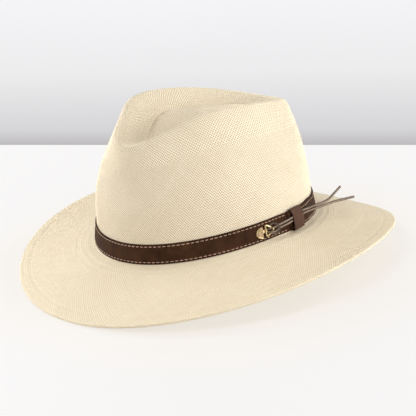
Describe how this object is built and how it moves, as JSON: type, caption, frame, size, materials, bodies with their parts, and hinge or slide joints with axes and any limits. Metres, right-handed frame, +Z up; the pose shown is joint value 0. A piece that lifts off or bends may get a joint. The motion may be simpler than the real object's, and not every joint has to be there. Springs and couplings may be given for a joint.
{
  "type": "panama hat",
  "caption": "Woven straw hat with a teardrop crown, a snap brim turned down at the front and back, and a stitched leather band with a hinged ring, a lace and a sliding keeper.",
  "frame": {"origin": "centre of the overall box's underside, on the surface that the front and back of the brim rest on", "axes": "+Z up towards the crown, -Y to the hat's front, +X to the wearer's left, the side with the ring and keeper"},
  "size_m": [0.3154, 0.343, 0.1425],
  "materials": {
    "straw": "natural woven straw, matt",
    "straw_thread": "matt straw-coloured thread",
    "band_leather": "dark brown oiled leather",
    "keeper_leather": "brown nubuck leather",
    "lace_leather": "taupe leather lace",
    "stitching": "cream stitching thread",
    "brass": "antique brass",
    "sweat_leather": "smooth tan leather",
    "tape": "dark brown woven tape",
    "label": "blank woven label"
  },
  "bodies": {
    "hat": {"straw_body": "straw", "brim_hem_thread": "straw_thread", "band_strap": "band_leather", "band_stitch_upper": "stitching", "band_stitch_lower": "stitching", "hinge_plate": "brass", "lace_upper": "lace_leather", "lace_lower": "lace_leather", "sweatband": "sweat_leather", "sweatband_reed": "sweat_leather", "sweatband_thread": "stitching", "sweatband_seam_tape": "tape", "size_label": "label"},
    "keeper": {"keeper_loop": "keeper_leather"},
    "ring": {"triangle_ring": "brass", "lace_knot": "lace_leather"}
  },
  "joints": [
    {"name": "keeper_slide", "type": "hinge", "parent": "hat", "child": "keeper", "pos_m": [-0.03864, 0.00005, 0.04307], "axis": [-0.0047, 0.0275, 0.9996], "range_deg": [-0.4, 1.2]},
    {"name": "ring_swing", "type": "hinge", "parent": "hat", "child": "ring", "pos_m": [0.08714, -0.01661, 0.04342], "axis": [0.1471, -0.0193, -0.9889], "range_deg": [0, 20]}
  ]
}
